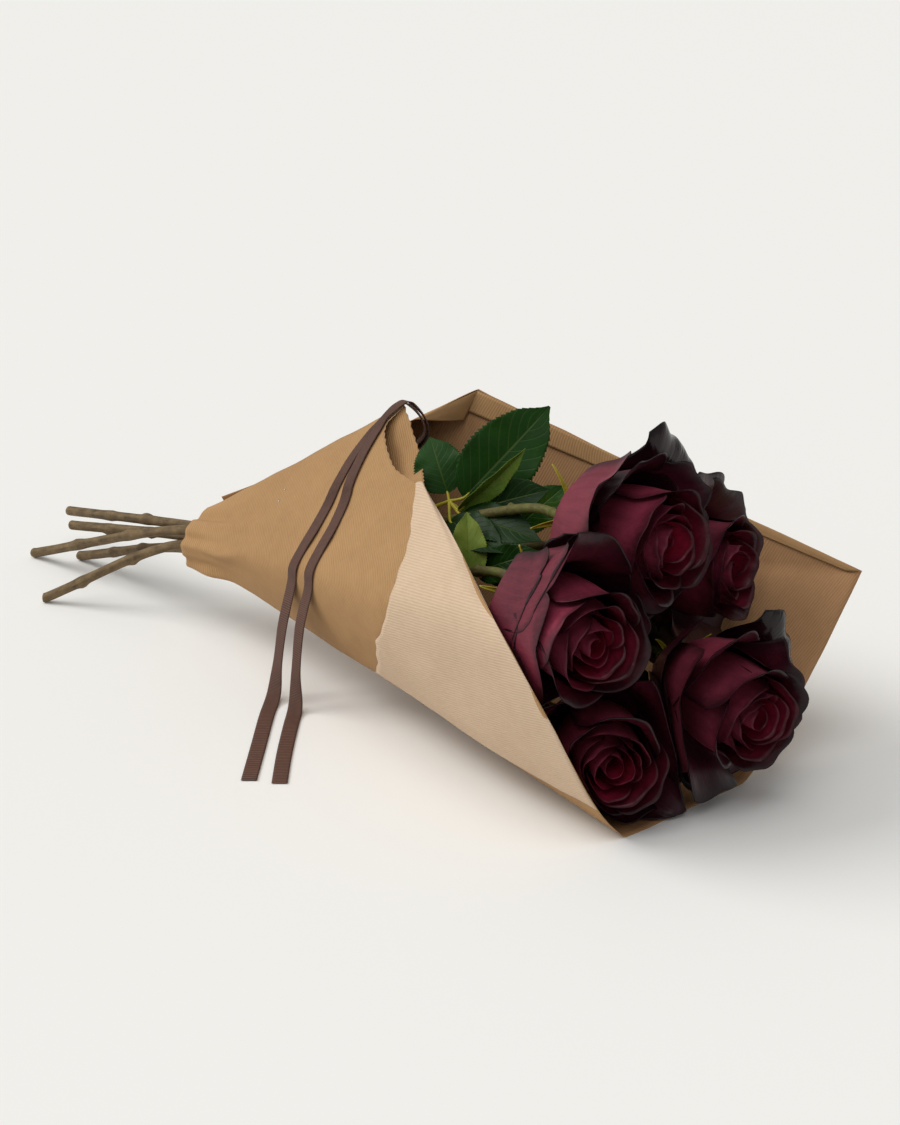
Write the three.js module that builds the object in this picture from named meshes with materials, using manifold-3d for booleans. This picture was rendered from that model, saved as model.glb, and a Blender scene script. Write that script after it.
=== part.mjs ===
// A bunch of five roses with leaves, laid down in a cone of ribbed kraft paper, with a ribbon over it.
// Millimetres, +Z up. +X runs from the cut stems to the blooms. The origin is on the surface that the
// bunch lies on, under the middle of the small flat spot of the paper, which carries the blooms' weight.
import * as THREE from 'three';
import { mergeVertices } from 'three/addons/utils/BufferGeometryUtils.js';
import Module from 'manifold-3d';

const wasm = await Module();
wasm.setup();

const vec = (x, y, z) => new THREE.Vector3(x, y, z);
const radians = THREE.MathUtils.degToRad;

// --- Driving dimensions ---------------------------------------------------------------------------
const PAPER = 0.8;              // thickness of the paper with its ribs
const LAYER = 1.7;              // from one lap of the paper to the next
const NECK_RADIUS = 15.5;       // the gathered neck
const NECK_END = -402;          // X of the cut end of the paper at the neck
const TIP = vec(-420, 0, 56);   // where the straight lines of the paper cone would meet
const RISE = 0.102;             // slope of the bunch's own line, from the neck up to the blooms
const FLAT = 0;                 // height of the surface that the bunch lies on

const PETAL = 0.7;              // thickness of a petal
const LEAF = 0.8;               // thickness of a leaf
const SEPAL = 0.9;              // thickness of a sepal
const STEM_RADIUS = 3.5;
const PETIOLE_RADIUS = 1.3;
const SEAT = 0.35;              // gap between pieces that rest on each other
const RIBBON_WIDTH = 10;
const RIBBON = 0.7;             // thickness of the ribbon
const RIBBON_CELLS = 40;        // along each tail
const LAP_GAP = 1;              // from the curve of the outer lap to the ribbon, so that it clears the facets

// --- Small tools ----------------------------------------------------------------------------------
const clamp01 = (x) => Math.min(1, Math.max(0, x));
const ease = (x) => clamp01(x) ** 2 * (3 - 2 * clamp01(x));
const mix = (a, b, t) => a + (b - a) * t;

// A repeatable scatter from 0 to 1.
function scatter(a, b) {
  const x = Math.sin(a * 12.9898 + b * 78.233) * 43758.5453;
  return x - Math.floor(x);
}

// A closed geometry from a list of points and a list of triangles.
function closedGeometry(positions, index) {
  const geometry = new THREE.BufferGeometry();
  geometry.setAttribute('position', new THREE.Float32BufferAttribute(positions, 3));
  geometry.setIndex(index);
  return geometry;
}

// A thin closed blade over a grid. place(u, v, side) gives a point of the front (side 1) or the back
// (side -1) for u and v from 0 to 1, and both faces are split along the same diagonals.
function blade(across, along, place) {
  const row = across + 1;
  const layer = row * (along + 1);
  const positions = [];
  for (const side of [1, -1]) {
    for (let j = 0; j <= along; j++) {
      for (let i = 0; i <= across; i++) positions.push(...place(i / across, j / along, side).toArray());
    }
  }
  const index = [];
  for (let j = 0; j < along; j++) {
    for (let i = 0; i < across; i++) {
      const a = j * row + i;
      const [b, c, d] = [a + 1, a + row, a + row + 1];
      index.push(a, b, d, a, d, c, a + layer, d + layer, b + layer, a + layer, c + layer, d + layer);
    }
  }
  const edge = [];
  for (let i = 0; i < across; i++) edge.push(i);
  for (let j = 0; j < along; j++) edge.push(j * row + across);
  for (let i = across; i > 0; i--) edge.push(along * row + i);
  for (let j = along; j > 0; j--) edge.push(j * row);
  edge.forEach((p, k) => {
    const q = edge[(k + 1) % edge.length];
    index.push(p, p + layer, q + layer, p, q + layer, q);
  });
  return closedGeometry(positions, index);
}

// The two faces of a sheet of the given thickness about the surface mid(u, v).
function facesOf(mid, thickness) {
  const step = 1e-3;
  return (u, v, side) => {
    const alongU = mid(Math.min(u + step, 1), v).sub(mid(Math.max(u - step, 0), v));
    const alongV = mid(u, Math.min(v + step, 1)).sub(mid(u, Math.max(v - step, 0)));
    return mid(u, v).addScaledVector(alongU.cross(alongV).normalize(), (side * thickness) / 2);
  };
}

const sheet = (across, along, thickness, mid) => blade(across, along, facesOf(mid, thickness));

// A smooth curve through points.
const smooth = (points) => new THREE.CatmullRomCurve3(points, false, 'catmullrom', 0.5);

// A rod along a smooth path, whose radius is multiplied by swell(t) from its start to its end. It is cut
// off flat where it would reach below the surface that the bunch lies on.
function rod(points, radius, sides, steps, swell = () => 1) {
  const path = smooth(points);
  const middle = new THREE.Vector2();
  const corner = (k) => new THREE.Vector2(radius, 0).rotateAround(middle, (2 * Math.PI * k) / sides);
  const section = new THREE.Shape(Array.from({ length: sides }, (_, k) => corner(k)));
  const raw = new THREE.ExtrudeGeometry(section, { steps, extrudePath: path });
  raw.deleteAttribute('normal');
  raw.deleteAttribute('uv');
  const geometry = mergeVertices(raw, 1e-3);
  const centres = path.getSpacedPoints(steps);
  const position = geometry.attributes.position;
  const point = vec(0, 0, 0);
  for (let i = 0; i < position.count; i++) {
    point.fromBufferAttribute(position, i);
    const away = centres.map((c) => c.distanceTo(point));
    const nearest = away.indexOf(Math.min(...away));
    point.sub(centres[nearest]).multiplyScalar(swell(nearest / steps)).add(centres[nearest]);
    position.setXYZ(i, point.x, point.y, Math.max(point.z, FLAT));
  }
  return geometry;
}

// A closed geometry as a solid for joining and cutting, turned so that its faces point out.
function solid(geometry) {
  const vertProperties = new Float32Array(geometry.attributes.position.array);
  const triVerts = new Uint32Array(geometry.index.array);
  const made = new wasm.Manifold(new wasm.Mesh({ numProp: 3, vertProperties, triVerts }));
  if (made.volume() > 0) return made;
  for (let i = 0; i < triVerts.length; i += 3) triVerts.subarray(i, i + 3).reverse();
  return new wasm.Manifold(new wasm.Mesh({ numProp: 3, vertProperties, triVerts }));
}

// Several closed geometries joined into the one body that is the largest, with no sealed hollow in it.
function fused(geometries) {
  const joined = geometries.map(solid).reduce((all, next) => all.add(next));
  const largest = joined.decompose().sort((a, b) => b.volume() - a.volume())[0];
  const mesh = largest.getMesh();
  return closedGeometry(Array.from(mesh.vertProperties), Array.from(mesh.triVerts));
}

const group = new THREE.Group();
function add(name, geometry, { color, roughness, metalness = 0 }) {
  const mesh = new THREE.Mesh(geometry, new THREE.MeshStandardMaterial({ color, roughness, metalness }));
  mesh.name = name;
  group.add(mesh);
}

// --- Paper wrap -----------------------------------------------------------------------------------
// The mouth of the paper, followed round from the lap under the top roll over the far side, along the
// surface that it lies on, up the near side and over the roll, and on down the outer lap.
const FAR_CORNER = vec(-219, 97, 183);
const RIGHT_CORNER = vec(51, 162, 110);
const FOLD_TOP = vec(-163, -14, 160);
const ROLL_TOP = vec(-233, 32, 182);
const MOUTH = [
  { cells: 2, points: [vec(-245, 28, 166), vec(-239, 66, 168), FAR_CORNER] },
  { cells: 3, points: [FAR_CORNER, RIGHT_CORNER] },
  {
    cells: 14,
    points: [RIGHT_CORNER, vec(51, 108, 49), vec(50, 56, 4), vec(48, -4, -20), vec(47, -46, -8),
      vec(41, -79, 25), vec(22, -101, 84), vec(-24, -97, 131), vec(-106, -47, 150), FOLD_TOP],
  },
  { cells: 3, points: [FOLD_TOP, vec(-199, 12, 162), ROLL_TOP] },
  {
    cells: 7,
    points: [ROLL_TOP, vec(-233, 22, 170), vec(-201, -2, 158), vec(-159, -21, 155), vec(-150, -62, 112),
      vec(-160, -66, 66), vec(-178, -36, 34)],
  },
];
const FAR_EDGE = 1;             // the mouth's stretch between the two corners
const ROUND = 2;                // its stretch from the right corner to the top of the fold
const OUTER_LAP = 4;            // its stretch down the outer lap
const MOUTH_CELLS = MOUTH.reduce((sum, { cells }) => sum + cells, 0);
const NECK_STATIONS = [0, 0.06, 0.14, 0.4, 0.86, 1];   // the last stretch makes the flat spot
const LAPEL_END = 5 / 9;        // where on the round stretch the turned-back lapel ends
const LAPEL_CUT = [0.51, 0.58, 0.7, 0.85, 0.97];
const HEM_WIDTH = 0.09;         // the widest part of the hem, as a share of the way to the neck

for (const stretch of MOUTH) stretch.curve = smooth(stretch.points);

// The slopes of the straight line from the cone's tip to a point, away from the bunch's own line.
function slopes(point) {
  const from = point.clone().sub(TIP);
  return { y: from.y / from.x, z: from.z / from.x - RISE };
}

// A point of the paper on the straight line to the mouth point rim, at fraction v from the neck to it,
// moved out from the bunch's own line by out.
function onCone(rim, v, out) {
  const { y, z } = slopes(rim);
  const slope = Math.hypot(y, z);
  const x = mix(NECK_END, rim.x, v);
  const cone = slope * (x - TIP.x);
  const radius = (cone + NECK_RADIUS + Math.hypot(cone - NECK_RADIUS, 5)) / 2 + out;
  return vec(x, (y / slope) * radius, TIP.z + RISE * (x - TIP.x) + (z / slope) * radius);
}

// A value from a list of evenly spaced ones.
function along(list, t) {
  const at = clamp01(t) * (list.length - 1);
  const i = Math.min(Math.floor(at), list.length - 2);
  return mix(list[i], list[i + 1], at - i);
}

function wrapMid(u, v) {
  let at = u * MOUTH_CELLS;
  let k = 0;
  while (k < OUTER_LAP && at > MOUTH[k].cells) at -= MOUTH[k++].cells;
  const t = at / MOUTH[k].cells;
  const out = k === OUTER_LAP ? LAYER * ease(t * 7) : 0;
  return onCone(MOUTH[k].curve.getPoint(t), along(NECK_STATIONS, v), out);
}

// The part of the paper that is turned back over the outer lap along the fold.
function lapelMid(u, v) {
  const rim = MOUTH[ROUND].curve.getPoint(mix(1, LAPEL_END, u));
  const reach = mix(1, along(LAPEL_CUT, 1 - u), v);
  return onCone(rim, reach, 0.3 + 3.2 * ease(v / 0.2));
}

// The hem that is turned in along the far edge.
function hemMid(u, v) {
  const rim = MOUTH[FAR_EDGE].curve.getPoint(u);
  return onCone(rim, 1 - HEM_WIDTH * mix(1, 0.2, u) * v, -0.3 - ease(v / 0.4));
}

// Both faces of the paper, whose back is the outside, with no part of it below the surface that the
// bunch lies on.
function onSurface(faces) {
  return (u, v, side) => {
    const point = faces(u, v, side);
    const lowest = side < 0 ? FLAT : FLAT + PAPER;
    point.z = Math.max(point.z, lowest);
    return point;
  };
}

function paperWrap() {
  const main = blade(MOUTH_CELLS, NECK_STATIONS.length - 1, onSurface(facesOf(wrapMid, PAPER)));
  const lapel = blade(8, 3, onSurface(facesOf(lapelMid, PAPER)));
  const hem = sheet(3, 2, PAPER, hemMid);
  return fused([main, lapel, hem]);
}

// --- Blooms ---------------------------------------------------------------------------------------
// A bloom opens along its own axis from its base, at the top of its stem. wilt lists its loose outer
// petals: how far round each stands (0 is straight up), how long it is and how far its tip leans.
// share says how much of the room between two blooms a bloom takes, and front says how far its petals
// lie over its neighbours' (plus) or under them (minus).
const BLOOMS = [
  {
    base: vec(-47, 3, 163), axis: vec(1, -0.02, 0.06), size: 1, share: 1.05, front: 0,
    wilt: [
      { turn: 2, reach: 104, tip: 150 }, { turn: 55, reach: 94, tip: 75 }, { turn: 105, reach: 95, tip: 80 },
      { turn: 165, reach: 88, tip: 95 }, { turn: 230, reach: 84, tip: 90 }, { turn: 300, reach: 86, tip: 100 },
    ],
  },
  {
    base: vec(-52, 65, 122), axis: vec(0.97, 0.2, 0.05), size: 0.93, share: 1, front: -15,
    wilt: [
      { turn: 10, reach: 86, tip: 120 }, { turn: 75, reach: 86, tip: 80 }, { turn: 150, reach: 94, tip: 90 },
      { turn: 225, reach: 84, tip: 85 }, { turn: 300, reach: 82, tip: 85 },
    ],
  },
  {
    base: vec(-36, -54, 132), axis: vec(0.955, -0.29, -0.06), size: 1, share: 1, front: 6,
    wilt: [
      { turn: 5, reach: 98, tip: 110 }, { turn: 52, reach: 97, tip: 85 }, { turn: 100, reach: 96, tip: 80 },
      { turn: 160, reach: 92, tip: 95 }, { turn: 240, reach: 84, tip: 85 },
    ],
  },
  {
    base: vec(15, 31, 71), axis: vec(0.97, -0.17, -0.1), size: 0.96, share: 1.25, front: 6,
    wilt: [
      { turn: 25, reach: 94, tip: 125 }, { turn: 80, reach: 98, tip: 80 }, { turn: 135, reach: 94, tip: 100 },
      { turn: 200, reach: 80, tip: 120 }, { turn: 255, reach: 80, tip: 80 }, { turn: 318, reach: 88, tip: 140 },
    ],
  },
  {
    base: vec(-14, -24, 45), axis: vec(0.8, -0.6, 0.02), size: 0.94, share: 1.12, front: 0,
    wilt: [
      { turn: 30, reach: 90, tip: 90 }, { turn: 100, reach: 90, tip: 80 }, { turn: 165, reach: 90, tip: 80 },
      { turn: 230, reach: 94, tip: 100 }, { turn: 300, reach: 96, tip: 110 },
    ],
  },
];
// The closed rings of petals from the heart out: how many, how long, how far from the axis they start,
// the lean of their root, belly and tip from the axis in degrees, and how far round each reaches.
const RINGS = [
  { count: 1, reach: 78, root: 2.6, lean: [12, 2, -4], span: 230, slip: 2, cells: 8 },
  { count: 2, reach: 83, root: 4, lean: [24, 1, 3], span: 104, slip: 2, cells: 4 },
  { count: 3, reach: 87, root: 5, lean: [36, 1, 8], span: 74, slip: 2.2, cells: 3 },
  { count: 3, reach: 90, root: 6, lean: [46, 3, 16], span: 80, slip: 2.4, cells: 4 },
  { count: 4, reach: 91, root: 7, lean: [62, 8, 30], span: 58, slip: 2.4, cells: 3 },
];
// The loose outer petals lie in two layers by turns.
const OUTER = [
  { root: 8, lean: [88, 10], span: 48, slip: 1.6, wave: 1.5 },
  { root: 9, lean: [94, 20], span: 50, slip: 1.6, wave: 2.5 },
];
const CORE = [[0, -3], [16, -3], [15, 13], [0, 13]];
const CORE_SIDES = 6;
const START = 0.06;             // where a petal leaves the core, as a share of its length
const ROOM = 0.78;              // share of its room where a petal starts to give way
const HEART = 48;               // how far the middle of a bloom lies from its base
const BESIDE = 60;              // how far behind that middle the paper still limits a bloom

// The lean of a petal from the axis, at the fraction s of its length.
function leanAt([rootLean, belly, tip], s) {
  return radians(mix(rootLean, belly, ease(s / 0.5)) + (tip - belly) * clamp01((s - 0.55) / 0.45) ** 1.6);
}

// A point of a petal's middle surface in the bloom's own frame. u and v run from 0 to 1 across and along.
function petalPoint({ turn, reach, root, lean, span, slip, wave = 0, phase = 0 }, u, v) {
  const across = 2 * u - 1;
  const s = mix(START, 1, v) * (1 - 0.2 * Math.abs(across) ** 2.5);
  const pieces = 10;
  let radius = root;
  let height = 0;
  for (let k = 0; k < pieces; k++) {
    const angle = leanAt(lean, (s * (k + 0.5)) / pieces);
    radius += (reach * s * Math.sin(angle)) / pieces;
    height += (reach * s * Math.cos(angle)) / pieces;
  }
  const round = radians(turn + across * span * (0.8 + 0.2 * ease(v / 0.6)));
  const ripple = wave * Math.sin(across * 5 + phase) * v * v;
  const out = radius + across * slip * mix(0.6, 1, v) + ripple;
  return vec(out * Math.cos(round), out * Math.sin(round), height + ripple * 0.4);
}

// The bloom's own frame: X is up, Z is its axis.
function bloomFrame({ base, axis }) {
  const z = axis.clone().normalize();
  const x = vec(0, 0, 1).addScaledVector(z, -z.z).normalize();
  return new THREE.Matrix4().makeBasis(x, z.clone().cross(x), z).setPosition(base);
}

const heart = ({ base, axis, size }) => base.clone().addScaledVector(axis.clone().normalize(), HEART * size);

// The flat limits that a bloom's petals give way to: one towards each neighbour, the surface that the
// bunch lies on, and the paper where it reaches past the bloom.
function limitsOf(bloom) {
  const centre = heart(bloom);
  const limits = BLOOMS.filter((other) => other !== bloom).map((other) => {
    const to = heart(other).sub(centre);
    const normal = to.clone().add(vec(other.front - bloom.front, 0, 0)).normalize();
    return { normal, room: (to.dot(normal) * bloom.share) / (bloom.share + other.share) };
  });
  limits.push({ normal: vec(0, 0, -1), room: centre.z - FLAT - PAPER });
  const { curve } = MOUTH[ROUND];
  for (let t = 0.06; t < 0.96; t += 0.06) {
    const [here, next] = [curve.getPoint(t), curve.getPoint(t + 0.02)];
    const normal = here.clone().sub(TIP).cross(next.sub(TIP)).normalize();
    const room = here.clone().sub(centre).dot(normal);
    if (room > 0 && here.x > centre.x - BESIDE) limits.push({ normal, room: room - PAPER });
  }
  return { centre, limits };
}

// A point moved back inside the limits, smoothly and without folding.
function giveWay(point, { centre, limits }) {
  for (const { normal, room } of limits) {
    const limit = room - PETAL / 2 - SEAT;
    const soft = limit * ROOM;
    const far = point.clone().sub(centre).dot(normal);
    if (far <= soft) continue;
    const kept = soft + (limit - soft) * (1 - Math.exp((soft - far) / (limit - soft)));
    point.addScaledVector(normal, kept - far);
  }
  return point;
}

function bloomGeometry(bloom, number) {
  const frame = bloomFrame(bloom);
  const limits = limitsOf(bloom);
  const place = (petal) => (u, v) =>
    giveWay(petalPoint(petal, u, v).multiplyScalar(bloom.size).applyMatrix4(frame), limits);
  const petals = [];
  RINGS.forEach((ring, r) => {
    for (let k = 0; k < ring.count; k++) {
      const turn = ((k + 0.37 * r) * 360) / ring.count + 16 * scatter(number, r * 5 + k) + number * 47;
      petals.push(sheet(ring.cells, 2, PETAL, place({ ...ring, turn })));
    }
  });
  bloom.wilt.forEach(({ turn, reach, tip }, k) => {
    const phase = 6 * scatter(number, 40 + k);
    const layer = OUTER[k % 2];
    petals.push(sheet(4, 3, PETAL, place({ ...layer, turn, reach, lean: [...layer.lean, tip], phase })));
  });
  const core = new THREE.LatheGeometry(CORE.map(([x, y]) => new THREE.Vector2(x, y)), CORE_SIDES);
  core.rotateX(Math.PI / 2).deleteAttribute('normal').deleteAttribute('uv');
  petals.push(mergeVertices(core.scale(bloom.size, bloom.size, bloom.size), 1e-3).applyMatrix4(frame));
  return fused(petals);
}

// --- Stems, hips and sepals -----------------------------------------------------------------------
// Each stem runs from its cut end through the neck and the tie to the hip under its bloom.
// neck and tie say how far round its place there is: 0 is on the far side and 90 on top. ring is how far
// it lies from the bunch's own line at the tie, just inside the ribbon.
const STEMS = [
  { end: vec(-560, -1, 3), neck: 130, tie: 108, ring: 13, slack: vec(-150, 1, 138) },
  { end: vec(-561, 35, 25), neck: 50, tie: 33, ring: 14.3, slack: vec(-150, 42, 107) },
  { end: vec(-491, -52, 3), neck: 205, tie: 180, ring: 13.3, slack: vec(-150, -33, 111) },
  { end: vec(-529, 9, 30), neck: 340, tie: 325, ring: 14.9, slack: vec(-110, 26, 68) },
  { end: vec(-532, 18, 3), neck: 275, tie: 255, ring: 13.4, slack: vec(-130, -3, 49) },
];
const STEM_SIDES = 6;
const STEM_STEPS = 16;
const NECK_RING = 8.8;          // how far the stems lie from the bunch's own line at the neck
const TIE = -300;               // X of the ribbon round the stems
const HIP = [[0, -14], [3.6, -14], [6.2, -10], [5.6, -5], [5, -3.4], [0, -3.4]];
const HIP_LENGTH = 14;
const STRAIGHT = 28;            // the last run of a stem, in line with its bloom
const KNOTS = [0.12, 0.31, 0.5, 0.72, 0.9];
const KNOT_SWELL = 1.14;
const SEPALS = 5;

// A point at X x, away from the bunch's own line by radius at the angle turn.
function aroundLine(x, radius, turn) {
  const [y, z] = [radius * Math.cos(radians(turn)), radius * Math.sin(radians(turn))];
  return vec(x, y, TIP.z + RISE * (x - TIP.x) + z);
}

const stemPoints = STEMS.map(({ end, neck, tie, ring, slack }, k) => {
  const { base, axis, size } = BLOOMS[k];
  const ahead = axis.clone().normalize();
  const top = base.clone().addScaledVector(ahead, -HIP_LENGTH * size - SEAT);
  const held = [aroundLine(NECK_END, NECK_RING, neck), aroundLine(TIE, ring, tie)];
  return [end, ...held, slack, top.clone().addScaledVector(ahead, -STRAIGHT), top];
});
const stemPaths = stemPoints.map(smooth);

// A stem is a little thicker at its knots.
const stemSwell = (t) => (KNOTS.some((at) => Math.abs(t - at) < 0.5 / STEM_STEPS) ? KNOT_SWELL : 1);

function calyx(bloom, number) {
  const frame = bloomFrame(bloom);
  const limits = limitsOf(bloom);
  const hip = new THREE.LatheGeometry(HIP.map(([x, y]) => new THREE.Vector2(x, y)), 6);
  hip.rotateX(Math.PI / 2).deleteAttribute('normal').deleteAttribute('uv');
  const parts = [mergeVertices(hip, 1e-3).scale(bloom.size, bloom.size, bloom.size).applyMatrix4(frame)];
  for (let k = 0; k < SEPALS; k++) {
    const turn = radians((k * 360) / SEPALS + number * 31 + 10);
    const reach = 24 + 12 * scatter(number, 70 + k);
    const droop = 4 + 10 * scatter(number, 80 + k);
    const sepal = (u, v) => {
      const half = (2.6 * (1 - v) ** 0.7 + 0.4) * (2 * u - 1);
      const point = vec(3 + reach * v, half, -7 - droop * v * v).applyAxisAngle(vec(0, 0, 1), turn);
      return giveWay(point.applyMatrix4(frame), limits);
    };
    parts.push(sheet(1, 3, SEPAL, sepal));
  }
  return fused(parts);
}

// --- Leaves ---------------------------------------------------------------------------------------
// Each spray of leaves leaves its stem at the fraction at of it and branches at its joint. A leaf's face
// is turned towards LIT, by its own turn as well. width is half of its widest part, fold lifts its edges
// in proportion to it, and bend is the rise of its back.
const LIT = vec(0.55, -0.65, 0.52).normalize();
const SPRAYS = [
  {
    stem: 0, at: 0.56, joint: vec(-160, 6, 146), leaves: [
      { base: vec(-152, 11, 149), tip: vec(-132, 70, 200), width: 23, fold: 0.16, bend: 5, turn: [0.1, 0.2, -0.1] },
      { base: vec(-167, 12, 148), tip: vec(-190, 20, 178), width: 16, fold: 0.1, bend: 3, turn: [-0.1, 0, 0] },
      { base: vec(-148, 2, 144), tip: vec(-113, 26, 188), width: 10, fold: 0.7, bend: 4, turn: [0.9, 0.5, 0.2] },
    ],
  },
  {
    stem: 1, at: 0.58, joint: vec(-128, 30, 124), leaves: [
      { base: vec(-124, 30, 130), tip: vec(-100, 50, 160), width: 14, fold: 0.15, bend: 3, turn: [0, 0, 0] },
      { base: vec(-132, 34, 128), tip: vec(-150, 66, 150), width: 13, fold: 0.15, bend: 3, turn: [0, 0, 0] },
    ],
  },
  {
    stem: 2, at: 0.58, joint: vec(-118, -22, 118), leaves: [
      { base: vec(-114, -26, 118), tip: vec(-128, -12, 150), width: 11, fold: 0.3, bend: 3, turn: [0.2, 0, 0] },
      { base: vec(-108, -16, 114), tip: vec(-84, 16, 126), width: 12, fold: 0.15, bend: 3, turn: [0, 0, 0] },
    ],
  },
];
const TEETH = 8;

// The middle surface of a leaf with teeth along both edges.
function leaf({ base, tip, width, fold, bend, turn }) {
  const run = tip.clone().sub(base);
  const ahead = run.clone().normalize();
  const towards = LIT.clone().add(vec(...turn));
  const up = towards.addScaledVector(ahead, -towards.dot(ahead)).normalize();
  const aside = up.clone().cross(ahead);
  return (u, v) => {
    const tooth = Math.round(v * TEETH) % 2 ? 1.05 : 0.93;
    const outline = 0.06 + Math.sin(Math.PI * v ** 0.85) ** 0.8 * (1 - 0.25 * v);
    const half = width * outline * tooth * (1 - 2 * u);
    const lift = fold * Math.abs(half) + bend * Math.sin(Math.PI * v);
    return base.clone().addScaledVector(run, v).addScaledVector(aside, half).addScaledVector(up, lift);
  };
}

function spray({ stem, at, joint, leaves }) {
  const from = stemPaths[stem].getPoint(at);
  const grain = stemPaths[stem].getTangent(at);
  const lead = joint.clone().sub(from);
  const aside = lead.addScaledVector(grain, -lead.dot(grain)).normalize();
  const start = from.addScaledVector(aside, STEM_RADIUS + SEAT + PETIOLE_RADIUS);
  const middle = start.clone().lerp(joint, 0.5).add(vec(-3, 0, 2));
  const parts = [rod([start, middle, joint], PETIOLE_RADIUS, 5, 3)];
  for (const one of leaves) {
    const inside = one.base.clone().lerp(one.tip, 0.12);
    parts.push(rod([joint.clone().lerp(middle, 0.1), one.base, inside], PETIOLE_RADIUS * 0.8, 4, 2));
    parts.push(sheet(2, TEETH, LEAF, leaf(one)));
  }
  return fused(parts);
}

// --- Ribbon and staple ----------------------------------------------------------------------------
// A strip of ribbon through points, each with the way that its width runs there. It lies on the surface
// where it comes down to it.
function ribbonStrip(stations) {
  const path = smooth(stations.map(([point]) => point));
  const sides = smooth(stations.map(([, way]) => way.clone().normalize()));
  return sheet(1, RIBBON_CELLS, RIBBON, (u, v) => {
    const side = sides.getPoint(v).normalize();
    const point = path.getPoint(v).addScaledVector(side, (u - 0.5) * RIBBON_WIDTH);
    point.z = Math.max(point.z, FLAT + RIBBON / 2);
    return point;
  });
}

// A place for the ribbon on the outer lap, at t along it and at X x: the middle of the ribbon, lifted by
// lift off the paper, and the way that its width runs there.
function onLap(t, x, lift = 0) {
  const rim = MOUTH[OUTER_LAP].curve.getPoint(t);
  const out = LAYER + (PAPER + RIBBON) / 2 + LAP_GAP + lift;
  const place = (at) => onCone(rim, (at - NECK_END) / (rim.x - NECK_END), out);
  return [place(x), place(x + RIBBON_WIDTH).sub(place(x))];
}

// Both tails come up from the tie, round the paper's rim and over the roll, down the outer lap, and then
// hang down to the surface and lie along it. The front tail lies on the back one over the roll.
const TIE_RADIUS = 19;
const HANGING = vec(0.97, -0.2, 0);
const LYING = vec(0.73, 0.68, 0);
const TAILS = [
  [
    [vec(-300, 12.9, 83.6), vec(1, 0, 0.1)], [vec(-291, 17, 97), vec(0.9, -0.4, 0)],
    [vec(-261.3, 29.6, 126.5), vec(0.8, -0.6, 0)], [vec(-215.5, 43.5, 165), vec(0.7, -0.7, 0)],
    [vec(-226, 38.3, 188.5), vec(0.86, -0.15, 0.1)], onLap(0.1, -238, 2.5), onLap(0.24, -240, 2),
    onLap(0.38, -238), onLap(0.5, -234), onLap(0.62, -232), onLap(0.74, -233),
    [vec(-236, -54, 56), HANGING], [vec(-237, -57, 26), HANGING], [vec(-232, -63, 5), vec(0.9, 0.3, 0)],
    [vec(-219, -80, 0), LYING], [vec(-190, -115, 0), LYING], [vec(-161, -148, 0), LYING],
  ],
  [
    [vec(-300, -3, 88.7), vec(1, 0, 0.1)], [vec(-293, 7, 101), vec(0.9, -0.4, 0)],
    [vec(-263, 28, 129), vec(0.8, -0.6, 0)], [vec(-218, 42.6, 165), vec(0.7, -0.7, 0)],
    [vec(-228, 37.4, 186.2), vec(0.86, -0.15, 0.1)], onLap(0.1, -242, 0.6), onLap(0.24, -250),
    onLap(0.38, -251), onLap(0.5, -250), onLap(0.62, -251), onLap(0.74, -253),
    [vec(-256, -50, 50), HANGING], [vec(-258, -53, 24), HANGING], [vec(-255, -60, 5), vec(0.9, 0.3, 0)],
    [vec(-242, -79, 0), LYING], [vec(-212, -116, 0), LYING], [vec(-178, -158, 0), LYING],
  ],
];

// The ribbon where it goes round the stems, as a closed band.
function tieBand() {
  const half = RIBBON_WIDTH / 2;
  const band = [[0, -half], [RIBBON, -half], [RIBBON, half], [0, half], [0, -half]];
  const ring = new THREE.LatheGeometry(band.map(([x, y]) => new THREE.Vector2(TIE_RADIUS + x, y)), 20);
  ring.deleteAttribute('normal');
  ring.deleteAttribute('uv');
  const { x, y, z } = aroundLine(TIE, 0, 0);
  const turned = mergeVertices(ring, 1e-3).rotateZ(Math.atan(RISE) - Math.PI / 2).rotateX(Math.PI / 2);
  return turned.translate(x, y, z);
}

// The staple that holds the lap, lying across the paper's own lines at STAPLE_AT along the outer lap.
const STAPLE_X = -307;
const STAPLE_AT = [0.27, 0.31, 0.35];
const STAPLE_RADIUS = 0.45;

const staple = () => rod(STAPLE_AT.map((t) => onLap(t, STAPLE_X)[0]), STAPLE_RADIUS, 5, 3);

add('paper_wrap', paperWrap(), { color: 0xb8956d, roughness: 0.85 });
BLOOMS.forEach((bloom, k) => {
  add(`rose_${k + 1}_bloom`, bloomGeometry(bloom, k), { color: 0x4a1528, roughness: 0.5 });
  add(`rose_${k + 1}_calyx`, calyx(bloom, k), { color: 0x9a9440, roughness: 0.6 });
  const stem = rod(stemPoints[k], STEM_RADIUS, STEM_SIDES, STEM_STEPS, stemSwell);
  add(`rose_${k + 1}_stem`, stem, { color: 0x69583c, roughness: 0.7 });
});
SPRAYS.forEach((one, k) => add(`leaf_spray_${k + 1}`, spray(one), { color: 0x1f4a24, roughness: 0.5 }));
add('ribbon_tie', tieBand(), { color: 0x5f4138, roughness: 0.75 });
TAILS.forEach((tail, k) => {
  add(`ribbon_tail_${k + 1}`, ribbonStrip(tail), { color: 0x5f4138, roughness: 0.75 });
});
add('staple', staple(), { color: 0xc8c8c8, roughness: 0.35, metalness: 1 });

export default group;
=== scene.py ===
# A bunch of five dark red roses with leaves, laid down in a cone of ribbed kraft paper with a ribbon over it.
# Shapes are worked out in millimetres and put into the meshes in metres.
import math

import bmesh
import bpy
from mathutils import Matrix, Vector, noise


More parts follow.
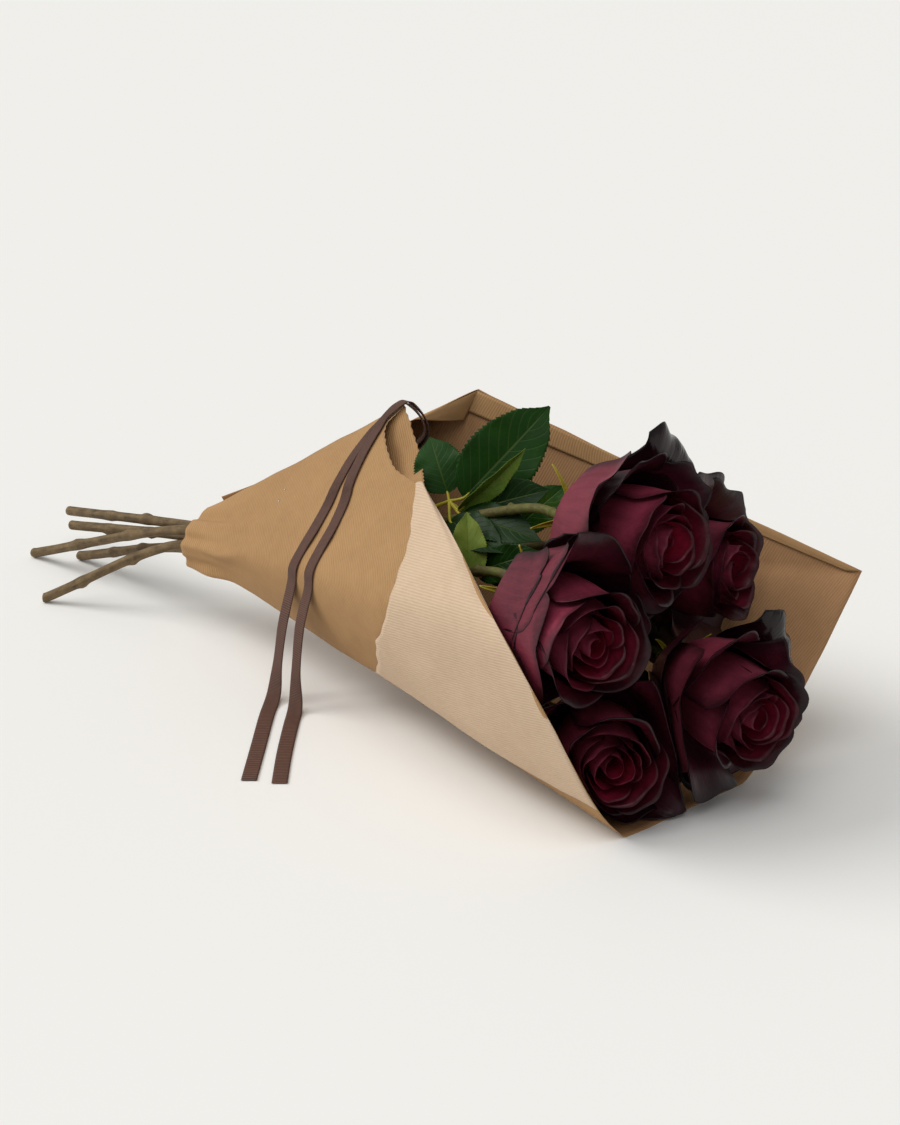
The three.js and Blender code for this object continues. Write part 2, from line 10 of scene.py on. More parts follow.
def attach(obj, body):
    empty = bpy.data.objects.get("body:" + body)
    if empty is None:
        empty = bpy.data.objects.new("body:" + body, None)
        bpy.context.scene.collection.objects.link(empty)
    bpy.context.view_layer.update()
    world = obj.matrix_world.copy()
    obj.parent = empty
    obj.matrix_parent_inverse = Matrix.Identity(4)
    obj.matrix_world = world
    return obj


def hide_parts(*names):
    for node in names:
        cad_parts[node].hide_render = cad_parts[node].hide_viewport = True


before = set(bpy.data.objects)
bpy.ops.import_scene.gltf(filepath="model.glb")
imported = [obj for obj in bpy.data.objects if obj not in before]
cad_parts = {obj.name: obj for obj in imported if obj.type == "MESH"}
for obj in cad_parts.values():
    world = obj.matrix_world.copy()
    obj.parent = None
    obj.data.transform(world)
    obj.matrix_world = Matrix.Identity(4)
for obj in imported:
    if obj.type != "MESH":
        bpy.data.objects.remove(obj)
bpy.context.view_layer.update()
MM = 0.001


# ---- Camera ---------------------------------------------------------------------------------------
def new_object(name, data):
    obj = bpy.data.objects.new(name, data)
    bpy.context.scene.collection.objects.link(obj)
    return obj


def make_camera():
    """The camera stands at the near right of the bunch and looks slightly down on it."""
    data = bpy.data.cameras.new("camera")
    data.lens = 121.44
    data.sensor_width = 36
    camera = new_object("camera", data)
    camera.location = (1.3774, -1.6419, 1.0144)
    camera.rotation_euler = (math.radians(68), 0, math.radians(43))
    bpy.context.scene.camera = camera


# ---- Small tools ----------------------------------------------------------------------------------
def clamp01(x):
    return min(1.0, max(0.0, x))


def ease(x):
    """0 below 0 and 1 above 1, with a soft rise between them."""
    x = clamp01(x)
    return x * x * (3 - 2 * x)


def mix(a, b, t):
    """From a at t = 0 to b at t = 1."""
    return a + (b - a) * t


def bell(x, width):
    """A smooth bump of height 1 about 0."""
    return math.exp(-((x / width) ** 2))


def scatter(a, b):
    """A repeatable scatter from 0 to 1."""
    x = math.sin(a * 12.9898 + b * 78.233) * 43758.5453
    return x - math.floor(x)


def smooth(points):
    """A smooth curve through points, as a function of t from 0 to 1."""
    points = [Vector(p) for p in points]
    last = len(points) - 1

    def at(t):
        i = min(int(t * last), last - 1)
        w = t * last - i
        p1, p2 = points[i], points[i + 1]
        p0 = points[i - 1] if i else 2 * p1 - p2
        p3 = points[i + 2] if i + 2 <= last else 2 * p2 - p1
        a, b = (p2 - p0) / 2, (p3 - p1) / 2
        return p1 + w * (a + w * (3 * (p2 - p1) - 2 * a - b + w * (2 * (p1 - p2) + a + b)))

    return at


def through(values, t, soft=True):
    """A value from a list of evenly spaced ones, with t from 0 to 1."""
    x = clamp01(t) * (len(values) - 1)
    i = min(int(x), len(values) - 2)
    return mix(values[i], values[i + 1], ease(x - i) if soft else x - i)


def new_mesh(*layers):
    """An empty bmesh with a UV map and with named numbers on its points."""
    bm = bmesh.new()
    bm.loops.layers.uv.new("flat")
    for layer in layers:
        bm.verts.layers.float.new(layer)
    return bm


def sheet(bm, across, along, place, flat=None, slot=0, **numbers):
    """Adds a sheet of cells with its points at place(u, v) in millimetres, and its UV at flat(u, v).
    slot is the material's number, or a function of u that gives it. numbers are written on the sheet's points."""
    verts = bmesh.ops.create_grid(bm, x_segments=across, y_segments=along, size=0.5)["verts"]
    uv = bm.loops.layers.uv["flat"]
    for face in {face for vert in verts for face in vert.link_faces}:
        face.smooth = True
        face.material_index = slot(face.calc_center_median().x + 0.5) if callable(slot) else slot
        for loop in face.loops:
            u, v = loop.vert.co.x + 0.5, loop.vert.co.y + 0.5
            loop[uv].uv = flat(u, v) if flat else (u, v)
    for vert in verts:
        vert.co = place(vert.co.x + 0.5, vert.co.y + 0.5) * MM
        for name, value in numbers.items():
            vert[bm.verts.layers.float[name]] = value
    return verts


def tube(bm, path, radius, sides, along, cut=0, **numbers):
    """Adds a closed round tube along path(t), with its radius in millimetres from radius(t, turn).
    cut is the number of the material on its ends."""
    frames = []
    side = Vector((0, 0.3, 1))
    for j in range(along + 1):
        t = j / along
        ahead = (path(min(t + 0.002, 1)) - path(max(t - 0.002, 0))).normalized()
        side = (side - ahead * side.dot(ahead)).normalized()
        frames.append((path(t), side.copy(), ahead.cross(side)))

    def place(u, v):
        centre, one, other = frames[round(v * along)]
        turn = 2 * math.pi * u
        return centre + (one * math.cos(turn) + other * math.sin(turn)) * radius(v, turn)

    length = sum((path((j + 1) / along) - path(j / along)).length for j in range(along))
    verts = sheet(bm, sides, along, place, lambda u, v: (u, v * length * MM), **numbers)
    faces = {face for vert in verts for face in vert.link_faces}
    bmesh.ops.remove_doubles(bm, verts=verts, dist=2e-6)
    edges = list({e for face in faces if face.is_valid for e in face.edges if e.is_boundary})
    caps = bmesh.ops.holes_fill(bm, edges=edges, sides=0)["faces"]
    for face in caps:
        face.material_index = cut
    bmesh.ops.recalc_face_normals(bm, faces=[face for face in faces if face.is_valid] + caps)


def finish_piece(name, bm, materials, nodes=(), thickness=0, shell=0, rim=0):
    """Makes the piece, gives it its thickness behind its faces and hands it to the frame.
    shell and rim say how many materials further on the ones at the back and on the edges are."""
    mesh = bpy.data.meshes.new(name)
    bm.to_mesh(mesh)
    bm.free()
    obj = new_object(name, mesh)
    for material in materials:
        mesh.materials.append(material)
    if thickness:
        wall = obj.modifiers.new("thickness", "SOLIDIFY")
        wall.thickness = thickness * MM
        wall.offset = -1
        wall.material_offset = shell
        wall.material_offset_rim = rim
    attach(obj, "root")
    if nodes:
        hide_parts(*nodes)
    return obj


# ---- Materials ------------------------------------------------------------------------------------
BLACK, WHITE = (0, 0, 0, 1), (1, 1, 1, 1)


class Nodes:
    """A few short words for wiring a node tree."""

    def __init__(self, tree):
        self.tree = tree

    def add(self, kind, inputs=(), **settings):
        node = self.tree.nodes.new(kind)
        for key, value in settings.items():
            setattr(node, key, value)
        for key, value in dict(inputs).items():
            self.join(value, node.inputs[key])
        return node

    def join(self, value, socket):
        if isinstance(value, bpy.types.NodeSocket):
            self.tree.links.new(value, socket)
        else:
            socket.default_value = value

    def math(self, operation, a, b=0.0):
        return self.add("ShaderNodeMath", {0: a, 1: b}, operation=operation).outputs[0]

    def sum(self, *parts):
        """Adds up values, each given with its weight."""
        total = 0.0
        for value, weight in parts:
            total = self.math("ADD", self.math("MULTIPLY", value, weight), total)
        return total

    def away(self, value, middle):
        """How far a value lies from a middle one."""
        return self.math("ABSOLUTE", self.math("SUBTRACT", value, middle))

    def about(self, value, amount):
        """A value between 0 and 1 as an equal plus or minus of an amount."""
        return self.math("MULTIPLY", self.math("SUBTRACT", value, 0.5), amount)

    def blend(self, amount, a, b):
        """Mixes two colours. 6 and 7 are the node's colour inputs, and 2 is its colour output."""
        return self.add("ShaderNodeMix", {"Factor": amount, 6: a, 7: b}, data_type="RGBA").outputs[2]

    def ramp(self, value, *stops):
        """A colour for the value, from stops of position and colour."""
        node = self.add("ShaderNodeValToRGB", {"Fac": value})
        elements = node.color_ramp.elements
        while len(elements) < len(stops):
            elements.new(0.5)
        for element, (position, color) in zip(elements, stops):
            element.position = position
            element.color = color
        return node.outputs["Color"]

    def mask(self, value, low, high):
        """0 where the value is low and 1 where it is high."""
        return self.ramp(value, (low, BLACK), (high, WHITE))

    def noise(self, vector, scale, detail=3.0, roughness=0.55):
        inputs = {"Vector": vector, "Scale": scale, "Detail": detail, "Roughness": roughness}
        return self.add("ShaderNodeTexNoise", inputs).outputs["Fac"]

    def stretched(self, vector, scale, turn=0.0):
        inputs = {"Vector": vector, "Scale": scale, "Rotation": (0, 0, turn)}
        return self.add("ShaderNodeMapping", inputs).outputs["Vector"]

    def split(self, vector):
        return self.add("ShaderNodeSeparateXYZ", {"Vector": vector}).outputs

    def shared(self, tree, **inputs):
        """The value that a shared node group puts out."""
        return self.add("ShaderNodeGroup", inputs, node_tree=tree).outputs["Value"]

    def uv(self):
        return self.add("ShaderNodeUVMap", uv_map="flat").outputs["UV"]

    def place(self):
        return self.add("ShaderNodeTexCoord").outputs["Object"]

    def number(self, name):
        """A number that is written on the piece's points."""
        return self.add("ShaderNodeAttribute", attribute_name=name).outputs["Fac"]


def rgb(r, g, b):
    """A colour as seen on a screen, from 0 to 255, as a shader's colour."""
    return tuple(((c / 255 + 0.055) / 1.055) ** 2.4 if c > 10 else c / 3295 for c in (r, g, b)) + (1,)


def near_color(color, other):
    """A colour most of the way to another one."""
    return tuple(mix(a, b, 0.8) for a, b in zip(color, other))


def group(name, inputs, build):
    """A named node group with vector or value inputs, that puts out one value."""
    tree = bpy.data.node_groups.new(name, "ShaderNodeTree")
    for label, default in inputs.items():
        kind = "NodeSocketVector" if default is None else "NodeSocketFloat"
        socket = tree.interface.new_socket(label, in_out="INPUT", socket_type=kind)
        if default is not None:
            socket.default_value = default
    tree.interface.new_socket("Value", in_out="OUTPUT", socket_type="NodeSocketFloat")
    n = Nodes(tree)
    given = n.add("NodeGroupInput").outputs
    leave = n.add("NodeGroupOutput")
    n.join(build(n, given), leave.inputs["Value"])
    return tree


def mottle(n, given):
    """Two sizes of soft blotches."""
    broad = n.noise(given["Vector"], given["Scale"], 2.0)
    fine = n.noise(given["Vector"], n.math("MULTIPLY", given["Scale"], 7.0), 4.0)
    return n.sum((broad, 0.65), (fine, 0.35))


def ribs(n, given):
    """Rounded parallel ribs, a period apart along the X of the vector."""
    turns = n.math("DIVIDE", n.split(given["Vector"])["X"], given["Period"])
    wave = n.math("SINE", n.math("MULTIPLY", turns, 2 * math.pi))
    return n.math("ADD", n.math("MULTIPLY", wave, 0.5), 0.5)


def creases(n, given):
    """Fine creases that fan out along a petal from its root."""
    parts = n.split(given["Vector"])
    inputs = {"X": n.math("MULTIPLY", parts["X"], given["Count"]), "Y": n.math("MULTIPLY", parts["Y"], 2.0),
              "Z": given["Seed"]}
    return n.noise(n.add("ShaderNodeCombineXYZ", inputs).outputs["Vector"], 1.0, 3.0, 0.6)


MOTTLE = group("Soft mottle", {"Vector": None, "Scale": 20.0}, mottle)
RIBS = group("Ribs", {"Vector": None, "Period": 0.0017}, ribs)
CREASES = group("Fine creases", {"Vector": None, "Count": 14.0, "Seed": 0.0}, creases)


def start_material(name, roughness, **constants):
    """A new material with its own nodes and with constants on the shader's sockets."""
    material = bpy.data.materials.new(name)
    material.use_nodes = True
    shader = material.node_tree.nodes["Principled BSDF"].inputs
    shader["Roughness"].default_value = roughness
    for key, value in constants.items():
        shader[key.replace("_", " ")].default_value = value
    return material, Nodes(material.node_tree), shader


def bumped(n, shader, height, strength, distance):
    """Joins a relief to the shader. distance is its height in metres."""
    inputs = {"Height": height, "Strength": strength, "Distance": distance}
    n.join(n.add("ShaderNodeBump", inputs).outputs["Normal"], shader["Normal"])


def paper_material(name, light, dark):
    """Kraft paper with fine ribs, fibres and soft blotches."""
    material, n, shader = start_material(name, 0.8, Specular_IOR_Level=0.25)
    rib = n.shared(RIBS, Vector=n.uv(), Period=0.0018)
    blotch = n.shared(MOTTLE, Vector=n.place(), Scale=14.0)
    fibre = n.noise(n.stretched(n.uv(), (1500, 160, 160)), 1.0, 4.0, 0.65)
    tone = n.sum((rib, 0.2), (fibre, 0.36), (blotch, 0.44))
    n.join(n.ramp(tone, (0.3, dark), (0.72, light)), shader["Base Color"])
    bumped(n, shader, n.sum((rib, 0.8), (fibre, 0.3)), 0.4, 0.0004)
    return material


def petal_material(name, heart, middle, outer, rim, roughness, level):
    """A petal's face, from the heart of the bloom to its outer petals, with a darker or brighter rim."""
    material, n, shader = start_material(name, roughness, Specular_IOR_Level=level)
    uv, depth, seed = n.uv(), n.number("depth"), n.number("seed")
    crease = n.shared(CREASES, Vector=uv, Count=16.0, Seed=n.math("MULTIPLY", seed, 40.0))
    blotch = n.shared(MOTTLE, Vector=n.place(), Scale=38.0)
    tone = n.ramp(depth, (0.0, heart), (0.42, middle), (0.86, outer), (1.0, near_color(outer, rim)))
    shade = n.sum((crease, 0.3), (blotch, 0.5), (seed, 0.3))
    shade = n.ramp(shade, (0.38, BLACK), (0.8, (0.7, 0.7, 0.7, 1)))
    tone = n.blend(shade, tone, n.ramp(depth, (0.0, heart), (0.5, rim)))
    parts = n.split(uv)
    side = n.math("MULTIPLY", n.away(parts["X"], 0.5), 2.0)
    far = n.math("ADD", n.math("MAXIMUM", side, parts["Y"]), n.about(blotch, 0.3))
    edge = n.math("MULTIPLY", n.mask(far, 0.8, 1.02), 0.85)
    n.join(n.blend(edge, tone, rim), shader["Base Color"])
    rough = n.sum((crease, 0.2), (n.mask(depth, 0.9, 1.0), -0.14))
    n.join(n.math("ADD", roughness - 0.1, rough), shader["Roughness"])
    bumped(n, shader, n.sum((crease, 1.0), (blotch, 0.5)), 0.5, 0.001)
    return material


def leaf_material(name, roughness, level, lighter):
    """A leaf's face with a midrib, side veins and soft changes in its green, from dark to yellow-green."""
    material, n, shader = start_material(name, roughness, Specular_IOR_Level=level)
    parts = n.split(n.uv())
    side = n.away(parts["X"], 0.5)
    rows = n.math("SUBTRACT", n.math("MULTIPLY", parts["Y"], 9.0), n.math("MULTIPLY", side, 5.5))
    veins = n.ramp(n.away(n.math("FRACT", rows), 0.5), (0.0, WHITE), (0.1, BLACK))
    rib = n.ramp(side, (0.0, WHITE), (0.026, BLACK))
    lines = n.math("MAXIMUM", n.math("MULTIPLY", veins, 0.4), rib)
    blotch = n.shared(MOTTLE, Vector=n.place(), Scale=55.0)
    tone = n.math("ADD", n.number("tone"), n.about(blotch, 0.5))
    greens = [(0.0, rgb(14, 42, 6)), (0.25, rgb(26, 66, 10)), (0.6, rgb(86, 112, 36)), (1.0, rgb(150, 154, 64))]
    green = n.blend(lighter, n.ramp(tone, *greens), rgb(120, 140, 88))
    n.join(n.blend(n.math("MULTIPLY", lines, 0.3), green, rgb(110, 128, 66)), shader["Base Color"])
    bumped(n, shader, n.sum((blotch, 0.6), (lines, -0.8)), 0.5, 0.0008)
    return material


def ribbon_material(name, light, dark):
    """Grosgrain ribbon: ribs across it and a plain woven edge on each side. Its UV is in metres."""
    material, n, shader = start_material(name, 0.62, Specular_IOR_Level=0.3)
    uv = n.uv()
    rib = n.shared(RIBS, Vector=n.stretched(uv, (1, 1, 1), math.pi / 2), Period=0.0012)
    blotch = n.shared(MOTTLE, Vector=n.place(), Scale=160.0)
    selvedge = n.mask(n.away(n.split(uv)["X"], 0.005), 0.0042, 0.0045)
    tone = n.ramp(n.sum((rib, 0.6), (blotch, 0.4)), (0.2, dark), (0.8, light))
    n.join(n.blend(selvedge, tone, dark), shader["Base Color"])
    bumped(n, shader, n.sum((rib, 1.0), (blotch, 0.3), (selvedge, -0.8)), 0.7, 0.0003)
    return material


def skin_material(name, light, dark, scale, stretch, roughness, depth, young=None):
    """Bark, green skin or cut wood: soft blotches, with streaks along the piece.
    young is its colour near the blooms, which it takes on over 0.2 m along X."""
    material, n, shader = start_material(name, roughness, Specular_IOR_Level=0.3)
    streaks = n.noise(n.stretched(n.uv(), stretch), 1.0, 5.0, 0.65)
    blotch = n.shared(MOTTLE, Vector=n.place(), Scale=scale)
    tone = n.sum((streaks, 0.5), (blotch, 0.5))
    color = n.ramp(tone, (0.36, dark), (0.62, light))
    if young:
        further = n.mask(n.math("ADD", n.split(n.place())["X"], 0.5), 0.22, 0.42)
        color = n.blend(n.math("MULTIPLY", further, 0.8), color, n.ramp(tone, (0.36, dark), (0.62, young)))
    n.join(color, shader["Base Color"])
    bumped(n, shader, tone, 0.6, depth)
    return material


def steel_material(name, base):
    """Bright wire with fine scratches."""
    material, n, shader = start_material(name, 0.3, Metallic=1.0)
    scratches = n.noise(n.stretched(n.place(), (900, 200, 900)), 1.0, 2.0)
    n.join(n.ramp(scratches, (0.3, base), (0.7, rgb(240, 240, 236))), shader["Base Color"])
    n.join(n.math("ADD", n.math("MULTIPLY", scratches, 0.25), 0.18), shader["Roughness"])
    return material


PAPER_OUT = paper_material("kraft paper outside", rgb(184, 145, 100), rgb(150, 114, 75))
# The cone's inside is the same face of the sheet as the turned-back corner; its darker colours are painted shade for
# the inside of the cone.
PAPER_INSIDE_SHADED = paper_material("kraft paper inside with painted shade", rgb(180, 138, 98), rgb(148, 110, 74))
PAPER_IN = paper_material("kraft paper turned back", rgb(216, 191, 164), rgb(188, 162, 134))
PETAL_OUT = petal_material("petal outside", rgb(196, 74, 104), rgb(150, 54, 78), rgb(124, 46, 62), rgb(26, 8, 14),
                           roughness=0.52, level=0.2)
PETAL_IN = petal_material("petal inside", rgb(158, 30, 58), rgb(118, 26, 48), rgb(72, 24, 38), rgb(8, 3, 5),
                          roughness=0.36, level=0.26)
PETAL_RIM = petal_material("petal rim", rgb(150, 20, 48), rgb(70, 14, 28), rgb(20, 7, 12), rgb(10, 4, 7),
                           roughness=0.6, level=0.05)
LEAF_FACE = leaf_material("leaf face", roughness=0.45, level=0.15, lighter=0.0)
LEAF_BACK = leaf_material("leaf back", roughness=0.6, level=0.15, lighter=0.5)
GREEN = skin_material("sepal green", rgb(200, 182, 56), rgb(122, 124, 36), scale=90.0, stretch=(4, 60, 1),
                      roughness=0.5, depth=0.0004)
BARK = skin_material("stem bark", rgb(128, 106, 74), rgb(70, 56, 36), scale=110.0, stretch=(9, 60, 1),
                     roughness=0.7, depth=0.0008, young=rgb(92, 104, 34))
CUT_WOOD = skin_material("cut wood", rgb(196, 176, 132), rgb(140, 116, 80), scale=400.0, stretch=(30, 30, 1),
                         roughness=0.8, depth=0.0003)
GROSGRAIN = ribbon_material("grosgrain ribbon", rgb(108, 75, 61), rgb(64, 42, 34))
STAPLE_STEEL = steel_material("staple steel", rgb(200, 198, 194))

# ---- Paper wrap -----------------------------------------------------------------------------------
WALL = 0.45  # thickness of the paper
SHEET = 0.8  # thickness of the paper with its ribs
LAYER = 1.7  # from one lap of the paper to the next
NECK_RADIUS = 15.5
NECK_END = -402  # where the stems are held together
PAPER_END = -385
TIP = Vector((-420, 0, 56))  # where the straight lines of the paper cone would meet
RISE = 0.102  # slope of the bunch's own line, from the neck up to the blooms

FAR_CORNER = (-219, 97, 183)
RIGHT_CORNER = (51, 162, 110)
FOLD_TOP = (-163, -14, 160)
ROLL_TOP = (-230, 38, 186)
# The stretches of the mouth, each with its cells and its points: the pleat at the far corner, the far edge, the near
# side, the roll at the top and the edge of the outer lap.
MOUTH = [
    (2, [(-245, 28, 166), (-239, 66, 168), FAR_CORNER]),
    (3, [FAR_CORNER, RIGHT_CORNER]),
    (14, [RIGHT_CORNER, (51, 108, 49), (50, 56, 4), (48, -4, -20), (47, -46, -8), (41, -79, 25),
          (22, -101, 84), (-24, -97, 131), (-106, -47, 150), FOLD_TOP]),
    (3, [FOLD_TOP, (-196, 17, 163), ROLL_TOP]),
    (7, [ROLL_TOP, (-233, 22, 170), (-201, -2, 158), (-159, -21, 155), (-150, -62, 112),
         (-160, -66, 66), (-178, -36, 34)]),
]
STRETCHES = [(cells, smooth(points)) for cells, points in MOUTH]
CELLS = sum(cells for cells, _ in STRETCHES)
(PLEAT_CELLS, PLEAT), (FAR_CELLS, FAR_EDGE), (ROUND_CELLS, ROUND), _, (LAP_CELLS, OUTER_LAP) = STRETCHES
IN_ROLL, IN_LAP = 3, 4  # the numbers of the last two stretches
LAPEL_END = 5 / 9  # how far along the near side the turned-back corner ends
LAPEL_CUT = [0.485, 0.56, 0.69, 0.85, 0.97]  # where its free edge lies from the neck to the mouth, from that end on
HEM_WIDTH = 0.1
FINE = 10  # cells of the paper's mesh for each cell of the mouth
LOWEST = WALL + 0.05  # the lowest place of a sheet's face
CONE_TURN, LAP_TURN = math.radians(110), math.radians(48)  # which way the ribs run in the cone and in its lap


def slope_of(rim):
    """How steeply the straight line to a mouth point leaves the bunch's own line, sideways and upwards."""
    ahead = rim - TIP
    return ahead.y / ahead.x, ahead.z / ahead.x - RISE


ROUND_SLOPES = sorted((math.atan2(z, y), math.hypot(y, z)) for y, z in
                      (slope_of(ROUND(0.3 + 0.7 * k / 80)) for k in range(81)))


def near_slope(turn):
    """How far out the near side of the paper stands at an angle about the bunch's own line."""
    turns = sorted((abs(math.remainder(pair[0] - turn, 2 * math.pi)), pair[1]) for pair in ROUND_SLOPES)[:2]
    (one, a), (other, b) = turns
    return mix(a, b, one / (one + other + 1e-9))


def lap_of(t):
    """0 where the outer lap stands free at the roll, and 2 where it lies on the near side."""
    return ease(t * 7) + ease((t - 0.4) / 0.2)


def on_cone(rim, v, out, lap=0.0):
    """A point on the straight line to the mouth point rim, v of the way from the neck, moved out by out.
    With lap at 1 it never lies inside the near side, and with lap at 2 it lies on it."""
    y, z = slope_of(rim)
    slope = kept = math.hypot(y, z)
    if lap:
        near = near_slope(math.atan2(z, y))
        kept = mix(mix(slope, max(slope, near), min(lap, 1)), near, clamp01(lap - 1))
    y, z, slope = y * kept / slope, z * kept / slope, kept
    x = mix(PAPER_END, rim.x, v)
    cone = slope * (x - TIP.x)
    radius = (cone + NECK_RADIUS + math.hypot(cone - NECK_RADIUS, 5)) / 2 + out
    return Vector((x, y / slope * radius, TIP.z + RISE * (x - TIP.x) + z / slope * radius))


def mouth_point(at):
    """The stretch of the mouth at a count of cells along it, and how far along that stretch it is."""
    k = 0
    while k < IN_LAP and at > STRETCHES[k][0] + 1e-9:
        at -= STRETCHES[k][0]
        k += 1
    return k, at / STRETCHES[k][0]


def fan_table(steps=580):
    """How far round each mouth point lies when the cone is laid flat, in radians."""
    angles = [0.0]
    before = None
    for i in range(steps + 1):
        k, t = mouth_point(CELLS * i / steps)
        ray = (STRETCHES[k][1](min(t, 1)) - TIP).normalized()
        if before is not None:
            angles.append(angles[-1] + before.angle(ray, 0))
        before = ray
    return angles


FAN = fan_table()


def laid_flat(at, v):
    """The paper's own place, in metres, when the cone is laid flat."""
    k, t = mouth_point(at)
    rim = STRETCHES[k][1](t)
    x = at / CELLS * (len(FAN) - 1)
    i = min(int(x), len(FAN) - 2)
    turn = mix(FAN[i], FAN[i + 1], x - i)
    reach = (rim - TIP).length * mix((PAPER_END - TIP.x) / (rim.x - TIP.x), 1, v) * MM
    turn += CONE_TURN if k < IN_ROLL else LAP_TURN
    return reach * math.cos(turn), reach * math.sin(turn)


def on_surface(point, lowest=LOWEST):
    """The point, lifted to the lowest place that its piece may have on the surface."""
    point.z = max(point.z, lowest)
    return point


def swell(point):
    """Soft waves in the paper, the folds gathered into the neck and a pinched crease at its lower side."""
    low = clamp01((point.z - 6) / 30)
    near = ease((-290 - point.x) / 70)
    turn = math.atan2(point.z - TIP.z - RISE * (point.x - TIP.x), point.y)
    waves = noise.noise(point * 0.017) * 1.4 * low + 0.5 * noise.noise(point * 0.05) * low
    folds = near * (1.1 * math.sin(turn * 7 + point.x * 0.02) + 0.6 * math.sin(turn * 13 + 1))
    pinch = 3.2 * bell(turn + 2.35, 0.22) * bell(point.x + 362, 16)
    pinch -= 2.4 * bell(turn + 2.0, 0.2) * bell(point.x + 350, 14)
    pinch += 1.6 * bell(turn - 2.9 + (point.x + 330) * 0.012, 0.16) * bell(point.x + 335, 30)
    return waves + folds + pinch


def wrap_point(u, v):
    """A point of the paper: u of the way round its mouth, and v of the way from its neck to the mouth."""
    at = u * CELLS
    k, t = mouth_point(at)
    rim = STRETCHES[k][1](t)
    out, reach, lap = 0, v, 0
    if k == IN_LAP:
        out = LAYER * ease(t * 7)
        reach = v * (1 + 0.07 * ease((t - 0.5) / 0.2))
        lap = lap_of(t)
    if v > 0.999 and k >= IN_ROLL:  # a pinked edge
        reach += 0.005 * (round(at * FINE) % 2) + 0.006 * noise.noise(Vector((at * 3, 0, 0)))
    return on_surface(on_cone(rim, reach, out + swell(on_cone(rim, reach, 0)) + WALL / 2, lap))


def make_paper():
    """The paper's cone, with its turned-back corner, its hem, a pleat at the far corner and the neck's loose edge.
    Its outer lap shows the other face of the sheet. The cone's inside is the same face as the turned-back corner,
    painted darker as painted shade."""
    bm = new_mesh()
    sheet(bm, CELLS * FINE, 90, wrap_point, lambda u, v: laid_flat(u * CELLS, v),
          slot=lambda u: int(u * CELLS > CELLS - LAP_CELLS))

    def lapel(u, v):
        rim = ROUND(mix(1, LAPEL_END, u))
        cut = through(LAPEL_CUT, 1 - u, soft=False) + 0.007 * noise.noise(Vector((u * 14, 3, 0)))
        rise = mix(0.3, 3.1, ease(v / 0.2)) + 0.7 * math.sin(math.pi * v) * math.sin(u * 7 + v * 2)
        reach = mix(1, cut, v)
        return on_surface(on_cone(rim, reach, rise + swell(on_cone(rim, reach, 0)) * ease(v / 0.1) + WALL / 2))

    def lapel_flat(u, v):
        t = mix(1, LAPEL_END, u)
        at = PLEAT_CELLS + FAR_CELLS + ROUND_CELLS * t
        flat = Vector(laid_flat(at, mix(1, through(LAPEL_CUT, 1 - u, soft=False), v)))
        return Matrix.Rotation(-CONE_TURN, 2) @ flat

    sheet(bm, 130, 44, lapel, lapel_flat, slot=1)

    def hem(u, v):
        rim = FAR_EDGE(u)
        return on_cone(rim, 1 - HEM_WIDTH * mix(1, 0.2, u) * v, -0.4 - 0.5 * ease(v / 0.4))

    sheet(bm, 90, 8, hem, lambda u, v: laid_flat(PLEAT_CELLS + FAR_CELLS * u, 1 - 0.09 * v))

    pleat_start, pleat_end = PLEAT(0.42), on_cone(FAR_EDGE(0.068), 0.874, -3)

    def pleat(u, v):
        inner = mix(pleat_start, pleat_end, u)
        return mix(Vector(FAR_CORNER), inner, v) + Vector((1.5, -1.5, 0)) * math.sin(math.pi * u) * v

    sheet(bm, 16, 24, pleat, lambda u, v: (0.05 * v, 0.04 * u * v))

    def neck_edge(u, v):
        rim = Vector(FAR_CORNER) + Vector((0, -4 + 5 * v, 0))
        low = on_cone(rim, mix(0.04, 0.62, u), -2)
        return low + Vector((-3 * (1 - u), -2, 7)) * v * (1 - u) ** 0.8 + Vector((0, -1.2 * v, 0))

    sheet(bm, 60, 8, neck_edge, lambda u, v: (0.24 * u, 0.01 * v))
    return finish_piece("paper", bm, [PAPER_INSIDE_SHADED, PAPER_OUT, PAPER_IN], ["paper_wrap"],
                        thickness=WALL, shell=1, rim=1)


# ---- Blooms ---------------------------------------------------------------------------------------
# share and front say how much room a bloom takes from its neighbours, and how far it stands in front of them.
# wilt lists the loose outer petals: how far round each stands, how long it is, how far its tip leans, and a 1 where
# it belongs to the lowest layer. guard lists how far round the fully opened lowest petals stand; they fill the gap
# between the blooms, and their colour, darker than the other outer petals, is painted shade.
BLOOMS = [
    dict(base=(-47, 3, 163), axis=(1, -0.02, 0.06), size=1, share=1.05, front=0, guard=[180, 235],
         wilt=[(310, 91, 163), (52, 92, 60), (105, 95, 60), (165, 88, 85), (230, 84, 80), (290, 80, 55),
               (20, 86, 50)]),
    dict(base=(-52, 65, 122), axis=(0.97, 0.2, 0.05), size=0.93, share=1, front=-15, guard=[130, 190, 240],
         wilt=[(10, 86, 100), (75, 86, 80), (150, 94, 90), (225, 84, 85), (300, 82, 75)]),
    dict(base=(-36, -54, 132), axis=(0.955, -0.29, -0.06), size=1, share=1, front=6, guard=[200, 250, 300],
         wilt=[(5, 94, 90), (46, 98, 98), (100, 96, 70), (160, 92, 95), (240, 84, 85), (68, 86, 100, 1),
               (126, 82, 90, 1)]),
    dict(base=(15, 31, 71), axis=(0.97, -0.17, -0.1), size=0.96, share=1.25, front=6, guard=[60, 120, 200],
         wilt=[(25, 84, 60), (80, 96, 60), (135, 94, 80), (200, 80, 110), (255, 80, 70), (294, 80, 160),
               (104, 80, 100, 1)]),
    dict(base=(-14, -24, 45), axis=(0.8, -0.6, 0.02), size=0.94, share=1.12, front=0, guard=[210, 270, 330],
         wilt=[(30, 90, 90), (100, 90, 80), (165, 90, 80), (230, 94, 100), (300, 96, 110)]),
]
